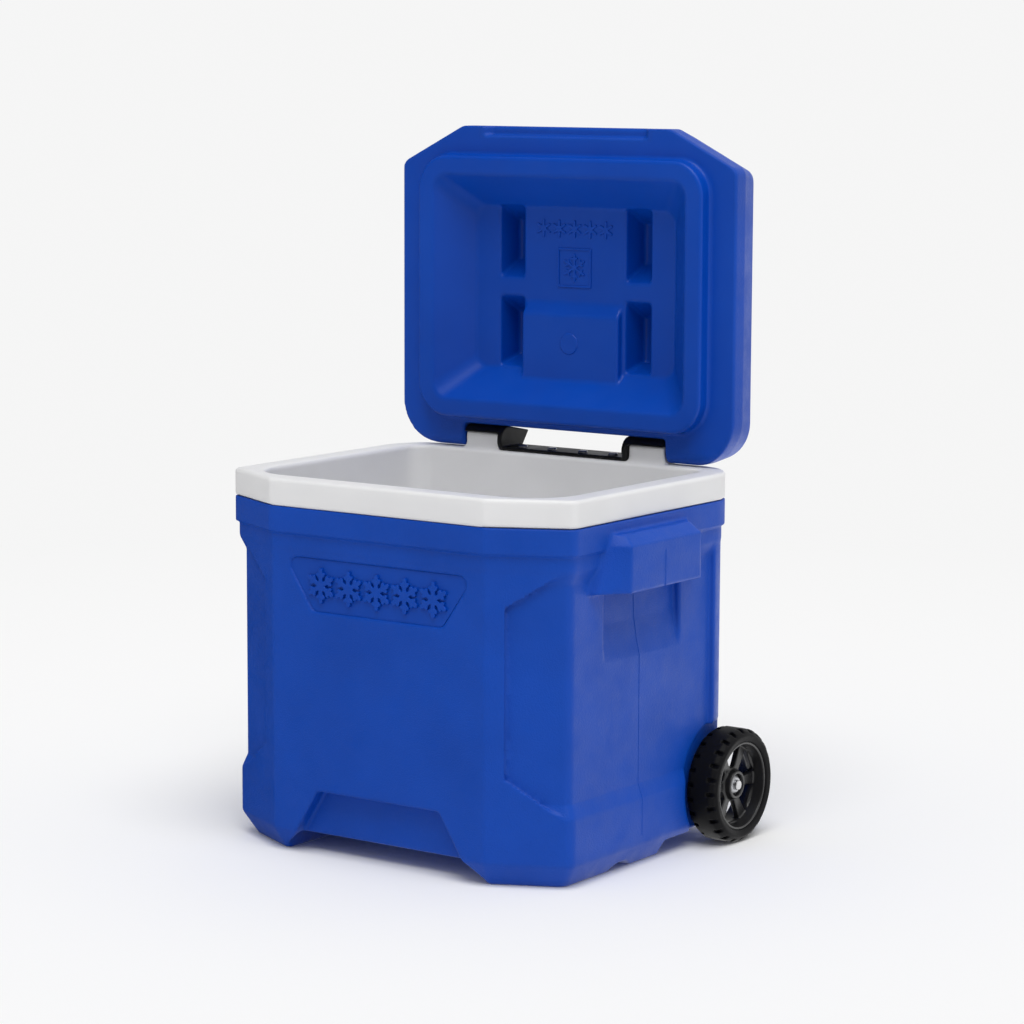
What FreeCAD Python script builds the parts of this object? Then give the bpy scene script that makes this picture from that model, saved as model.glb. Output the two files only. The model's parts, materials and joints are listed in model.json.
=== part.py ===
import FreeCAD, Part
import Sketcher
import math
import os
import re

# A small picnic cooler on two wheels: an octagonal, foam-filled tub with a moulded lift grip
# on each side, a lid that swings on two pins at the back and a telescoping pull handle.
# Millimetres, +Z up, +X to the cooler's right, the front faces -Y.  The origin is on the
# floor, under the middle of the whole cooler with its lid open.

DIMENSIONS = {
    # octagonal plan of the collar; every other outline is an inset of it
    "half_width": 161.4,
    "front_y": -159.25,
    "rear_y": 102.75,
    "corner_length": 61.0,
    "corner_depth": 30.5,
    "front_shift": 0.236,
    "side_shift": 0.618,
    "corner_round": 9.0,
    "rear_radius": 38.0,
    "least_radius": 6.0,
    # heights and insets of the body
    "foot_inset": 14.0,
    "break_height": 18.0,
    "skirt_inset": 3.0,
    "skirt_top": 53.0,
    "step_top": 63.6,
    "wall_inset": 7.0,
    "band_foot": 227.0,
    "band_bottom": 237.0,
    "band_inset": 2.5,
    "collar_bottom": 248.4,
    "collar_top": 268.7,
    "rim_top": 290.0,
    "rim_round": 3.0,
    "edge_round": 1.2,
    "base_height": 15.0,
    # recessed corner panels on the two sides
    "panel_front": 10.5,
    "panel_low": 82.0,
    "panel_high": 209.0,
    "panel_rear": 66.0,
    # toe notch, label recess and label plate on the front
    "notch_depth": 12.0,
    "notch_top": 51.0,
    "notch_top_half": 57.5,
    "notch_mid_half": 79.0,
    "notch_mid": 17.0,
    "notch_low_half": 93.0,
    "notch_low": 4.0,
    "label_low": 190.0,
    "label_high": 231.0,
    "label_low_half": 61.0,
    "label_high_half": 89.0,
    "label_depth": 3.0,
    "label_round": 7.0,
    "label_gap": 0.6,
    "plate_thickness": 1.4,
    # arch between the side feet and the raised rear of the skirt
    "arch_y": -48.75,
    "arch_radius": 24.3,
    "arch_height": 6.0,
    "rear_lift_y": 5.25,
    "rear_lift": 12.0,
    # moulded side grip, the hollow under it and the scoop in the wall below
    "grip_y": -31.25,
    "grip_low_root_half": 68.0,
    "grip_high_root_half": 56.0,
    "grip_flare": 6.0,
    "grip_root": 10.0,
    "grip_end_half": 47.5,
    "grip_reach": 16.0,
    "grip_bottom": 217.0,
    "grip_face_top": 252.0,
    "grip_top": 260.0,
    "grip_bevel": 8.0,
    "grip_hollow_half": 40.0,
    "grip_hollow_top": 238.0,
    "grip_lip": 5.5,
    "scoop_y": -29.0,
    "scoop_half": 51.3,
    "scoop_drop": 54.0,
    "scoop_depth": 6.5,
    # rear spine that carries the pull handle
    "spine_half": 66.0,
    "spine_y": 127.25,
    "spine_foot": 52.0,
    "spine_low": 80.0,
    "spine_high": 244.0,
    "spine_top": 262.0,
    # walls and the foam space
    "shell_inset": 10.5,
    "shell_wall": 3.0,
    "foam_bottom": 22.0,
    "liner_wall": 2.5,
    "mouth_inset": 20.0,
    "floor_inset": 31.5,
    "floor_rear_inset": 40.0,
    "floor_height": 33.0,
    "mouth_radius": 40.0,
    "mouth_rear_radius": 18.0,
    "floor_radius": 26.0,
    "floor_rear_radius": 12.0,
    "rim_space_top": 285.0,
    "rim_wall": 3.5,
    # wheels and axle
    "wheel_y": 79.25,
    "wheel_radius": 44.6,
    "well_radius": 50.0,
    "well_x": 150.5,
    "axle_radius": 4.0,
    "axle_half": 175.5,
    "nut_x": 170.1,
    "boss_outer_x": 174.0,
    "web_x": 164.0,
    "web_thickness": 5.0,
    "rim_band": 3.0,
    "window_inner": 13.5,
    "window_outer": 30.0,
    "window_inner_half": 3.6,
    "window_outer_half": 11.5,
    "cleat_count": 24,
    "cleat_gap_half": 1.7,
    "cleat_depth": 3.2,
    "bore_gap": 0.06,
    "wheel_inner_x": 152.5,
    "wheel_outer_x": 180.5,
    "rim_radius": 34.5,
    "hub_radius": 11.0,
    "spoke_count": 6,
    # lid hinge
    "hinge_y": 95.5,
    "hinge_z": 298.25,
    "post_inner": 63.0,
    "post_outer": 96.5,
    "post_half": 7.0,
    "post_rise": 5.25,
    "saddle_radius": 11.2,
    "strap_half": 40.0,
    "plate_inner": 58.5,
    "plate_outer": 62.5,
    "pin_radius": 3.0,
    "pin_gap": 0.05,
    "pin_inner": 68.0,
    "pin_outer": 118.0,
    # lid, measured in its closed place
    "lid_bottom": 290.3,
    "lid_inset": 1.0,
    "lid_edge_top": 304.0,
    "lid_shoulder": 327.0,
    "lid_shoulder_inset": 7.5,
    "lid_top": 340.0,
    "lid_top_inset": 20.0,
    "lid_shoulder_rear": 2.0,
    "lid_top_rear": 9.0,
    "lid_wall": 2.5,
    "cutback": 11.75,
    "cutback_half": 97.5,
    "hinge_block_half": 121.0,
    "hinge_round": 7.9,
    "flange_thickness": 3.0,
    "plug_inset": 24.3,
    "plug_drop": 11.5,
    "plug_bevel": 0.8,
    "plug_radius": 28.0,
    "dish_inset": 39.7,
    "dish_floor_inset": 65.3,
    "dish_depth": 27.5,
    "dish_radius": 13.0,
    "dish_floor_radius": 12.0,
    "pocket_inner": 49.2,
    "pocket_outer": 73.0,
    "front_pocket_front": -96.25,
    "front_pocket_rear": -36.0,
    "rear_pocket_front": -22.0,
    "rear_pocket_rear": 36.25,
    "pocket_draft": 3.0,
    "pocket_slope": 14.0,
    "pocket_rear_slope": 8.0,
    "pocket_depth": 24.0,
    "block_half": 46.6,
    "block_drop": 7.2,
    "block_front": -8.25,
    "block_bevel": 10.8,
    "fill_plug_back": 22.6,
    "lift_half": 80.0,
    "lift_depth": 8.5,
    "lift_height": 6.2,
    # telescoping pull handle
    "tube_x": 48.0,
    "tube_y": 149.25,
    "outer_tube_radius": 8.0,
    "outer_tube_bore": 7.0,
    "mid_tube_radius": 6.92,
    "mid_tube_bore": 5.9,
    "inner_tube_radius": 5.82,
    "inner_tube_bore": 4.8,
    "outer_tube_foot": 66.0,
    "outer_tube_top": 250.0,
    "mid_tube_foot": 72.0,
    "inner_tube_foot": 78.0,
    "collar_height": 4.0,
    "bracket_half": 62.0,
    "bracket_rear": 159.25,
    "bracket_web": 6.0,
    "bracket_gap_half": 35.0,
    "upper_bracket_low": 228.0,
    "lower_bracket_low": 64.0,
    "lower_bracket_high": 98.0,
    "handle_half": 61.0,
    "handle_depth": 16.5,
    "handle_top": 278.0,
    "handle_split": 270.0,
    "handle_gap_half": 37.0,
    "handle_gap_top": 262.0,
    "button_half": 15.0,
    "button_depth": 9.0,
    "button_top": 280.5,
    "slot_half": 53.0,
    "slot_low": 264.0,
    "slot_high": 274.5,
    "rod_radius": 2.0,
    "screw_radius": 2.0,
    "screw_head": 4.0,
    "screw_length": 7.5,
    "inner_rim_screw_x": 15.0,
    "outer_rim_screw_x": 44.0,
    "inner_screw_x": 9.0,
    "outer_screw_x": 26.0,
}

doc = FreeCAD.newDocument("WheeledCooler")
sheet = doc.addObject("Spreadsheet::Sheet", "Dimensions")
for row, (alias, number) in enumerate(DIMENSIONS.items(), start=1):
    sheet.set(f"A{row}", alias)
    sheet.set(f"B{row}", str(number))
    sheet.setAlias(f"B{row}", alias)
doc.recompute()

WORD = re.compile(r"[a-z][a-z_]*\b(?!\()")
# ways along the sides of the plans; the last two follow the cut front corners
EAST, NORTH, WEST, SOUTH = (1, 0), (0, 1), (-1, 0), (0, -1)
RISE, FALL = (0.894427, 0.447214), (0.894427, -0.447214)
TURN_TO_X = FreeCAD.Rotation(FreeCAD.Vector(0, 1, 0), 90)
PLANES = {
    "XY": FreeCAD.Rotation(),
    "XZ": FreeCAD.Rotation(FreeCAD.Vector(1, 0, 0), 90),
    "YZ": FreeCAD.Rotation(FreeCAD.Vector(1, 1, 1), 120),
}
nodes = []


# ---------------------------------------------------------------- helpers

def formula(text):
    """Turn dimension words into references to the sheet."""
    return WORD.sub(lambda word: "Dimensions." + word.group(), str(text))


def size(text):
    """Present value of a formula."""
    return float(sheet.evalExpression(formula(text)))


def bind(item, place, text):
    item.setExpression(place, formula(text))


def place(item, x="0", y="0", z="0"):
    for axis, text in zip("xyz", (x, y, z)):
        if str(text) != "0":
            bind(item, "Placement.Base." + axis, text)
    return item


def pin_point(sketch, line, x, y):
    """Hold the start of a line at (x, y)."""
    for kind, text, axis in (("DistanceX", x, -2), ("DistanceY", y, -1)):
        number = size(text)
        if abs(number) < 1e-9:
            sketch.addConstraint(Sketcher.Constraint("PointOnObject", line, 1, axis))
            continue
        ends = (-1, 1, line, 1) if number > 0 else (line, 1, -1, 1)
        index = sketch.addConstraint(Sketcher.Constraint(kind, *ends, abs(number)))
        signed = formula(text) if number > 0 else f"-({formula(text)})"
        sketch.setExpression(f"Constraints[{index}]", signed)


def draw(sketch, corners):
    """Closed polygon through corners given as pairs of formulas."""
    points = [FreeCAD.Vector(size(x), size(y), 0) for x, y in corners]
    count = len(points)
    for index in range(count):
        sketch.addGeometry(Part.LineSegment(points[index], points[(index + 1) % count]))
    for index in range(count):
        sketch.addConstraint(Sketcher.Constraint("Coincident", index, 2, (index + 1) % count, 1))
    for index, (x, y) in enumerate(corners):
        pin_point(sketch, index, x, y)
    return sketch


def polygon(name, plane, corners, level="0"):
    sketch = doc.addObject("Sketcher::SketchObject", name)
    sketch.Placement = FreeCAD.Placement(FreeCAD.Vector(), PLANES[plane])
    axis = {"XY": "z", "XZ": "y", "YZ": "x"}[plane]
    place(sketch, **{axis: level})
    return draw(sketch, corners)


def rounded_plan(name, level, corners):
    """Closed plan, counter-clockwise, from corners given as (x, y, radius, way in, way out)."""
    sketch = doc.addObject("Sketcher::SketchObject", name)
    place(sketch, z=level)
    ends = []
    for x, y, radius, (in_x, in_y), (out_x, out_y) in corners:
        share = (in_x * out_y - in_y * out_x) / (1 + in_x * out_x + in_y * out_y)
        ends.append((f"{x} - {in_x * share:.6f} * {radius}", f"{y} - {in_y * share:.6f} * {radius}"))
        ends.append((f"{x} + {out_x * share:.6f} * {radius}", f"{y} + {out_y * share:.6f} * {radius}"))
    points = [FreeCAD.Vector(size(x), size(y), 0) for x, y in ends]
    count = len(ends)
    for index, (x, y, radius, way_in, way_out) in enumerate(corners):
        turn = size(radius)
        start, end = points[2 * index], points[2 * index + 1]
        centre = start + FreeCAD.Vector(-way_in[1], way_in[0], 0) * turn
        circle = Part.Circle(centre, FreeCAD.Vector(0, 0, 1), turn)
        angles = [math.atan2(point.y - centre.y, point.x - centre.x) for point in (start, end)]
        sketch.addGeometry(Part.ArcOfCircle(circle, *angles))
        sketch.addGeometry(Part.LineSegment(end, points[(2 * index + 2) % count]))
    for index in range(count):
        sketch.addConstraint(Sketcher.Constraint("Coincident", index, 2, (index + 1) % count, 1))
    for index, (x, y) in enumerate(ends):
        pin_point(sketch, index, x, y)
    for index, (x, y, radius, way_in, way_out) in enumerate(corners):
        number = sketch.addConstraint(Sketcher.Constraint("Radius", 2 * index, size(radius)))
        bind(sketch, f"Constraints[{number}]", radius)
    return sketch


def outline(name, level, inset, rear=None):
    """Octagonal plan, inset from the collar, with rounder corners at the rear."""
    rear = f"(rear_y - ({rear or inset}))"
    half = f"(half_width - ({inset}))"
    turn = f"max(least_radius; rear_radius - ({inset}))"
    front = f"(front_y + {inset})"
    flat = f"(half_width - corner_length - front_shift * ({inset}))"
    side = f"(front_y + corner_depth + side_shift * ({inset}))"
    return rounded_plan(name, level, [
        (f"-{flat}", front, "corner_round", FALL, EAST),
        (flat, front, "corner_round", EAST, RISE),
        (half, side, "corner_round", RISE, NORTH),
        (half, rear, turn, NORTH, WEST),
        (f"-{half}", rear, turn, WEST, SOUTH),
        (f"-{half}", side, "corner_round", SOUTH, FALL),
    ])


def rectangle(name, level, inset, radius, rear=None, rear_radius=None):
    """Rectangular plan with round corners, inset from the collar."""
    rear_radius = rear_radius or radius
    half = f"(half_width - ({inset}))"
    front = f"(front_y + {inset})"
    rear = f"(rear_y - ({rear or inset}))"
    return rounded_plan(name, level, [
        (f"-{half}", front, radius, SOUTH, EAST),
        (half, front, radius, EAST, NORTH),
        (half, rear, rear_radius, NORTH, WEST),
        (f"-{half}", rear, rear_radius, WEST, SOUTH),
    ])


def extrude(name, sketch, length):
    solid = doc.addObject("Part::Extrusion", name)
    solid.Base = sketch
    solid.DirMode = "Normal"
    solid.Solid = True
    bind(solid, "LengthFwd", length)
    return solid


def prism(name, inset, low, high, rear=None):
    """Upright block with the octagonal plan."""
    return extrude(name, outline(name + "_plan", low, inset, rear), f"({high}) - ({low})")


def loft(name, sections):
    solid = doc.addObject("Part::Loft", name)
    solid.Sections = sections
    solid.Solid = True
    solid.Ruled = True
    return solid


def taper(name, low, high):
    """Block between two octagonal plans, each a dict of outline's arguments."""
    return loft(name, [outline(name + "_low", **low), outline(name + "_high", **high)])


def basin(name, low, high):
    """Block between two rectangular plans, each a dict of rectangle's arguments."""
    return loft(name, [rectangle(name + "_low", **low), rectangle(name + "_high", **high)])


def slab(name, plane, corners, start, end):
    """Polygon on a main plane, swept square to it from start to end."""
    if plane == "XZ":
        return extrude(name, polygon(name + "_plan", plane, corners, end), f"({end}) - ({start})")
    return extrude(name, polygon(name + "_plan", plane, corners, start), f"({end}) - ({start})")


def box(name, x, y, z):
    """Block between pairs of formulas along each axis."""
    solid = doc.addObject("Part::Box", name)
    for side, (low, high) in zip(("Length", "Width", "Height"), (x, y, z)):
        bind(solid, side, f"({high}) - ({low})")
    return place(solid, x[0], y[0], z[0])


def rod(name, radius, start, end, x="0", y="0", z="0", along="z"):
    """Cylinder from start to end along one axis."""
    solid = doc.addObject("Part::Cylinder", name)
    bind(solid, "Radius", radius)
    bind(solid, "Height", f"({end}) - ({start})")
    if along == "x":
        solid.Placement = FreeCAD.Placement(FreeCAD.Vector(), TURN_TO_X)
        return place(solid, x=start, y=y, z=z)
    if along == "y":
        solid.Placement = FreeCAD.Placement(FreeCAD.Vector(), FreeCAD.Rotation(FreeCAD.Vector(1, 0, 0), -90))
        return place(solid, x=x, y=start, z=z)
    return place(solid, x=x, y=y, z=start)


def turned(name, profile, x="0", y="0", z="0", axis="x"):
    """Solid of revolution: profile corners are (along the axis, radius)."""
    body = doc.addObject("PartDesign::Body", name)
    plane = next(item for item in body.Origin.OriginFeatures if item.Role == "XY_Plane")
    sketch = body.newObject("Sketcher::SketchObject", name + "_profile")
    sketch.AttachmentSupport = [(plane, "")]
    sketch.MapMode = "FlatFace"
    draw(sketch, profile)
    spin = body.newObject("PartDesign::Revolution", name + "_turn")
    spin.Profile = sketch
    spin.ReferenceAxis = (sketch, ["H_Axis"])
    spin.Angle = 360
    if axis == "z":
        body.Placement = FreeCAD.Placement(FreeCAD.Vector(), FreeCAD.Rotation(FreeCAD.Vector(0, 1, 0), -90))
    if axis == "y":
        body.Placement = FreeCAD.Placement(FreeCAD.Vector(), FreeCAD.Rotation(FreeCAD.Vector(0, 0, 1), 90))
    if axis == "-x":
        body.Placement = FreeCAD.Placement(FreeCAD.Vector(), FreeCAD.Rotation(FreeCAD.Vector(0, 0, 1), 180))
    return place(body, x, y, z)


def cut(name, base, *tools):
    """Base without its tools."""
    result = doc.addObject("Part::Cut", name)
    result.Base = base
    result.Tool = tools[0] if len(tools) == 1 else fuse(name + "_tools", *tools)
    return result


def fuse(name, *solids):
    result = doc.addObject("Part::MultiFuse", name)
    result.Shapes = list(solids)
    result.Refine = True
    return result


def common(name, *solids):
    result = doc.addObject("Part::MultiCommon", name)
    result.Shapes = list(solids)
    return result


def mirrored(name, source):
    """The same solid on the other side of the middle plane."""
    result = doc.addObject("Part::Mirroring", name)
    result.Source = source
    result.Normal = FreeCAD.Vector(1, 0, 0)
    return result


def both_sides(name, source):
    return fuse(name, source, mirrored(name + "_left", source))


def rounded(name, base, radius, chosen):
    """Round every edge of the base that the chosen test accepts."""
    doc.recompute()
    amount = size(radius)
    result = doc.addObject("Part::Fillet", name)
    result.Base = base
    edges = enumerate(base.Shape.Edges, start=1)
    result.Edges = [(number, amount, amount) for number, edge in edges if chosen(edge)]
    return result


def runs_along(axis):
    def test(edge):
        if not isinstance(edge.Curve, Part.Line):
            return False
        return abs(abs(edge.Curve.Direction.dot(axis)) - 1) < 1e-6
    return test


def at_height(level):
    def test(edge):
        bounds = edge.BoundBox
        return abs(bounds.ZMin - size(level)) < 1e-4 and abs(bounds.ZMax - size(level)) < 1e-4
    return test


def node(label, item):
    """Register a finished sub-part under the name of its file."""
    item.Label = label
    nodes.append(item)
    return item


def open_lid(piece):
    """Swing a lid piece from its closed place to fully open, a quarter turn back."""
    item = doc.addObject("Part::Compound", piece.Name + "_open")
    item.Links = [piece]
    item.Placement = FreeCAD.Placement(FreeCAD.Vector(), FreeCAD.Rotation(FreeCAD.Vector(1, 0, 0), -90))
    return place(item, y="hinge_y - hinge_z", z="hinge_z + hinge_y")


# ---------------------------------------------------------------- body

def side_recess():
    """Space in front of the two recessed side panels."""
    region = slab("panel_region", "YZ", [
        ("front_y + panel_front", "panel_low"),
        ("front_y + corner_depth", "skirt_top"),
        ("panel_rear", "skirt_top"),
        ("panel_rear", "band_bottom"),
        ("front_y + corner_depth", "band_bottom"),
        ("front_y + panel_front", "panel_high"),
    ], "-half_width - 5", "half_width + 5")
    core = prism("panel_core", "wall_inset", "break_height", "collar_bottom")
    return cut("panel_recess", region, core)


def grip_plan(name, level, root_half, end_half, reach):
    """Trapezoid of the right grip at one height; its root is inside the wall."""
    return polygon(name, "XY", [
        ("half_width - grip_root", f"grip_y - {root_half} - grip_flare"),
        ("half_width", f"grip_y - {root_half}"),
        (f"half_width + {reach}", f"grip_y - {end_half}"),
        (f"half_width + {reach}", f"grip_y + {end_half}"),
        ("half_width", f"grip_y + {root_half}"),
        ("half_width - grip_root", f"grip_y + {root_half} + grip_flare"),
    ], level)


def side_grip():
    """Lift grip block on the right wall, with a bevelled top."""
    low = ("grip_low_root_half", "grip_end_half", "grip_reach")
    middle = ("grip_high_root_half", "grip_end_half", "grip_reach")
    top = ("(grip_high_root_half - 4)", "(grip_end_half - 4)", "(grip_reach - grip_bevel)")
    block = loft("grip_block", [grip_plan("grip_low", "grip_bottom", *low),
                                grip_plan("grip_middle", "grip_face_top", *middle)])
    bevel = loft("grip_bevel_block", [grip_plan("grip_bevel_low", "grip_face_top", *middle),
                                      grip_plan("grip_bevel_high", "grip_top", *top)])
    return fuse("grip_right", block, bevel)


def finger_space():
    """Hollow under the right grip and the scoop in the wall below it."""
    hollow = box("grip_hollow", ("half_width - 6", "half_width + grip_reach - grip_lip"),
                 ("grip_y - grip_hollow_half", "grip_y + grip_hollow_half"),
                 ("grip_bottom - 5", "grip_hollow_top"))
    wall = "half_width - wall_inset"
    scoop = slab("scoop", "XZ", [
        (f"{wall} - scoop_depth", "grip_bottom"),
        (f"{wall} - scoop_depth * 0.8", "grip_bottom - scoop_drop * 0.5"),
        (f"{wall} - scoop_depth * 0.4", "grip_bottom - scoop_drop * 0.8"),
        (f"{wall}", "grip_bottom - scoop_drop"),
        ("half_width + 5", "grip_bottom - scoop_drop"),
        ("half_width + 5", "grip_bottom"),
    ], "scoop_y - scoop_half", "scoop_y + scoop_half")
    return fuse("finger_space_right", hollow, scoop)


def wheel_well(name, radius, inner):
    """Round space for the right wheel, open to the side."""
    return rod(name, radius, inner, "half_width + 30", y="wheel_y", z="wheel_radius", along="x")


def front_notch():
    return slab("toe_notch", "XZ", [
        ("-notch_top_half", "notch_top"),
        ("-notch_mid_half", "notch_mid"),
        ("-notch_low_half", "notch_low"),
        ("-notch_low_half - 4", "-1"),
        ("notch_low_half + 4", "-1"),
        ("notch_low_half", "notch_low"),
        ("notch_mid_half", "notch_mid"),
        ("notch_top_half", "notch_top"),
    ], "front_y - 5", "front_y + skirt_inset + notch_depth")


def label_block(name, gap, start, end):
    """Trapezoid with round corners on the front face."""
    slab_block = slab(name + "_block", "XZ", [
        (f"-label_low_half + {gap}", f"label_low + {gap}"),
        (f"label_low_half - {gap}", f"label_low + {gap}"),
        (f"label_high_half - {gap}", f"label_high - {gap}"),
        (f"-label_high_half + {gap}", f"label_high - {gap}"),
    ], start, end)
    return rounded(name, slab_block, f"label_round - {gap}", runs_along(FreeCAD.Vector(0, 1, 0)))


def foam_space():
    """Space between the shell and the liner, open at the top."""
    inside = fuse(
        "foam_block",
        prism("foam_main", "shell_inset", "foam_bottom", "collar_top"),
        box("spine_space", ("-spine_half + shell_wall", "spine_half - shell_wall"),
            ("rear_y - shell_inset - 5", "spine_y - shell_wall"), ("spine_low + 4", "spine_high - 4")))
    scoop_wall = box("scoop_wall", ("half_width - wall_inset - scoop_depth - shell_wall", "half_width + 10"),
                     ("scoop_y - scoop_half - shell_wall", "scoop_y + scoop_half + shell_wall"),
                     ("grip_bottom - scoop_drop", "grip_bottom + shell_wall"))
    well_wall = wheel_well("well_wall", "well_radius + shell_wall", "well_x - shell_wall")
    toe_wall = box("toe_wall", ("-notch_low_half - 8", "notch_low_half + 8"),
                   ("front_y", "front_y + skirt_inset + notch_depth + shell_wall"),
                   ("0", "notch_top + shell_wall"))
    return cut("foam_room", inside, both_sides("scoop_walls", scoop_wall),
               both_sides("well_walls", well_wall), toe_wall)


def rim_space():
    """Hollow ring inside the rim of the liner."""
    ring = prism("rim_space_ring", "rim_wall", "collar_top", "rim_space_top")
    core = extrude("rim_space_core",
                   rectangle("rim_space_plan", "collar_top - 1", "mouth_inset - liner_wall",
                             "(mouth_radius + liner_wall)", None, "(mouth_rear_radius + liner_wall)"),
                   "rim_space_top + 2 - collar_top")
    return cut("rim_room", ring, core)


def tub(name, grow, top, bottom):
    """Tapered tub shape of the liner, grown outwards for its outer side."""
    return basin(name, dict(level=bottom, inset=f"floor_inset - {grow}", rear=f"floor_rear_inset - {grow}",
                            radius=f"(floor_radius + {grow})", rear_radius=f"(floor_rear_radius + {grow})"),
                 dict(level=top, inset=f"mouth_inset - {grow}", radius=f"(mouth_radius + {grow})",
                      rear_radius=f"(mouth_rear_radius + {grow})"))


def shaft(name):
    return rod(name, "axle_radius", "-axle_half", "axle_half", y="wheel_y", z="wheel_radius", along="x")


foam_room = foam_space()
rim_room = rim_space()


def outer_shell():
    """Blow-moulded outer skin with collar, skirt, feet, grips and wheel wells."""
    proud = cut("proud_wall", prism("proud_block", "skirt_inset", "break_height", "collar_bottom"),
                side_recess())
    spine = slab("spine", "YZ", [
        ("rear_y - 15", "spine_foot - 10"),
        ("rear_y - 6", "spine_foot"),
        ("spine_y", "spine_low"),
        ("spine_y", "spine_high"),
        ("rear_y - 2", "spine_top"),
        ("rear_y - 15", "spine_top"),
    ], "-spine_half", "spine_half")
    blank = fuse(
        "shell_blank", proud, spine,
        taper("foot_flare", dict(level="0", inset="foot_inset"),
              dict(level="break_height", inset="skirt_inset")),
        taper("skirt_step", dict(level="skirt_top", inset="skirt_inset"),
              dict(level="step_top", inset="wall_inset")),
        taper("band_cove", dict(level="band_foot", inset="wall_inset"),
              dict(level="band_bottom", inset="band_inset")),
        prism("band", "band_inset", "band_bottom", "collar_bottom"),
        rounded("collar", prism("collar_block", "0", "collar_bottom", "collar_top"), "edge_round",
                at_height("collar_bottom")),
        both_sides("side_grips", side_grip()))
    underside = box("underside", ("-notch_low_half", "notch_low_half"),
                    ("front_y + notch_depth", "rear_y + 5"), ("-1", "base_height"))
    arch = rod("foot_arch", "arch_radius", "-half_width - 5", "half_width + 5",
               y="arch_y", z="arch_height - arch_radius", along="x")
    rear_lift = box("rear_lift", ("-half_width - 5", "half_width + 5"),
                    ("rear_lift_y", "rear_y + 5"), ("-1", "rear_lift"))
    return cut("shell_solid", blank, foam_room, front_notch(), underside, arch, rear_lift,
               label_block("label_recess", "0", "front_y - 5", "front_y + skirt_inset + label_depth"),
               both_sides("finger_spaces", finger_space()),
               both_sides("wheel_wells", wheel_well("well", "well_radius", "well_x")),
               shaft("axle_hole"))


def post(side):
    """Square hinge post that stands on the back of the rim."""
    low, high = ("post_inner", "post_outer") if side > 0 else ("-post_outer", "-post_inner")
    return box("post_right" if side > 0 else "post_left", (low, high),
               ("hinge_y - post_half", "hinge_y + post_half"), ("rim_top - 4", "hinge_z + post_rise"))


def inner_liner():
    """Food liner: tapered tub, wide rim and the two hinge posts."""
    rim = rounded("rim", prism("rim_block", "0", "collar_top", "rim_top"), "rim_round", at_height("rim_top"))
    outside = fuse("liner_blank", tub("tub_outer", "liner_wall", "collar_top", "floor_height - liner_wall"),
                   rim, post(1), post(-1))
    bore = rod("post_bore", "pin_radius + pin_gap", "pin_inner", "pin_outer",
               y="hinge_y", z="hinge_z", along="x")
    return cut("liner_solid", outside, rim_room, tub("tub_inner", "0", "rim_top", "floor_height"),
               both_sides("post_bores", bore), saddle_screw_set("rim_screw_holes"))


def body_foam():
    """Foamed-in-place insulation that fills the wall and the rim."""
    block = fuse("foam_fill", foam_room, rim_room)
    core = tub("foam_core", "liner_wall", "collar_top", "floor_height - liner_wall")
    return cut("foam_solid", block, core, shaft("foam_axle_hole"), base_plug_shape("foam_plug_hole"))


def base_plug_shape(name):
    """Mushroom-shaped plug pressed into the filling hole under the base."""
    return turned(name, [
        ("base_height - 1.5", "0"),
        ("foam_bottom + 4", "0"),
        ("foam_bottom + 4", "7"),
        ("base_height", "7"),
        ("base_height", "10"),
        ("base_height - 1.5", "10"),
    ], axis="z")


# ---------------------------------------------------------------- hinge saddle and its screws

def saddle_plate(side):
    """Upright cheek beside one post, rounded about the hinge so that the lid clears it."""
    low, high = ("plate_inner", "plate_outer") if side > 0 else ("-plate_outer", "-plate_inner")
    name = "cheek_right" if side > 0 else "cheek_left"
    wing = slab(name + "_wing", "YZ", [
        ("hinge_y", "rim_top"),
        ("rear_y + 12", "rim_top"),
        ("rear_y + 22", "hinge_z + 5.5"),
        ("hinge_y", "hinge_z + saddle_radius"),
    ], low, high)
    nose = rod(name + "_nose", "saddle_radius", low, high, y="hinge_y", z="hinge_z", along="x")
    below = box(name + "_below", (f"{low} - 1", f"{high} + 1"),
                ("hinge_y - 20", "hinge_y + 20"), ("rim_top - 20", "rim_top"))
    cap_low, cap_high = ("plate_inner", "post_outer") if side > 0 else ("-post_outer", "-plate_inner")
    cap = rod(name + "_cap", "saddle_radius", cap_low, cap_high, y="hinge_y", z="hinge_z", along="x")
    lower = box(name + "_cap_lower", ("-post_outer - 1", "post_outer + 1"),
                ("hinge_y - 20", "hinge_y + 20"), ("hinge_z - 20", "hinge_z + post_rise"))
    return fuse(name, wing, cut(name + "_round", nose, below), cut(name + "_half", cap, lower))


def hinge_saddle():
    """Black frame over the posts, joined by a foot plate and a strap down the back."""
    foot = box("saddle_foot", ("-plate_inner", "plate_inner"),
               ("hinge_y - 9", "rear_y + 12"), ("rim_top", "rim_top + 3"))
    strap = box("saddle_strap", ("-strap_half", "strap_half"), ("rear_y", "rear_y + 4"),
                ("spine_top", "rim_top + 3"))
    blank = fuse("saddle_blank", saddle_plate(1), saddle_plate(-1), foot, strap)
    return cut("saddle_solid", blank, saddle_screw_set("saddle_screw_holes"))


def pan_screw(name, x, y, z, axis):
    """Pan-head screw; its origin is the underside of the head."""
    return turned(name, [
        ("-screw_length", "0"),
        ("1.8", "0"),
        ("1.8", "screw_head - 1"),
        ("1", "screw_head"),
        ("0", "screw_head"),
        ("0", "screw_radius"),
        ("1 - screw_length", "screw_radius"),
        ("-screw_length", "screw_radius - 1"),
    ], x, y, z, axis)


def saddle_screw_set(name):
    """Four screws through the foot plate into the rim."""
    columns = ("-outer_rim_screw_x", "-inner_rim_screw_x", "inner_rim_screw_x", "outer_rim_screw_x")
    return fuse(name, *[pan_screw(f"{name}_{index}", x, "hinge_y", "rim_top + 3", "z")
                        for index, x in enumerate(columns)])


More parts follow.
